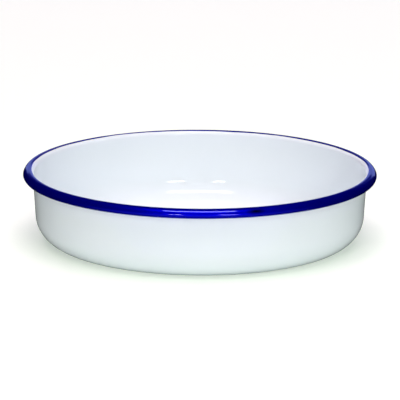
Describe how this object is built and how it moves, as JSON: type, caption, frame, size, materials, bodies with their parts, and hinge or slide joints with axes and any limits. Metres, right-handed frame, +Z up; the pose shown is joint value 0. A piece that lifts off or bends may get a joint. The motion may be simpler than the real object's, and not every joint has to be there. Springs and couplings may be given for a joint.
{
  "type": "baking tin",
  "caption": "Round baking tin pressed from one enamelled steel sheet: slightly leaning wall, rounded base corner, raised base panel and a rolled rim in blue.",
  "frame": {"origin": "middle of the base, level with the ring that the tin stands on", "axes": "+Z up along the tin's axis, out of its mouth; X and Y level, alike in every direction"},
  "size_m": [0.28, 0.28, 0.059],
  "materials": {
    "white_enamel": "gloss",
    "blue_enamel": "gloss"
  },
  "bodies": {
    "root": {"baking_tin": "white_enamel"}
  },
  "joints": []
}
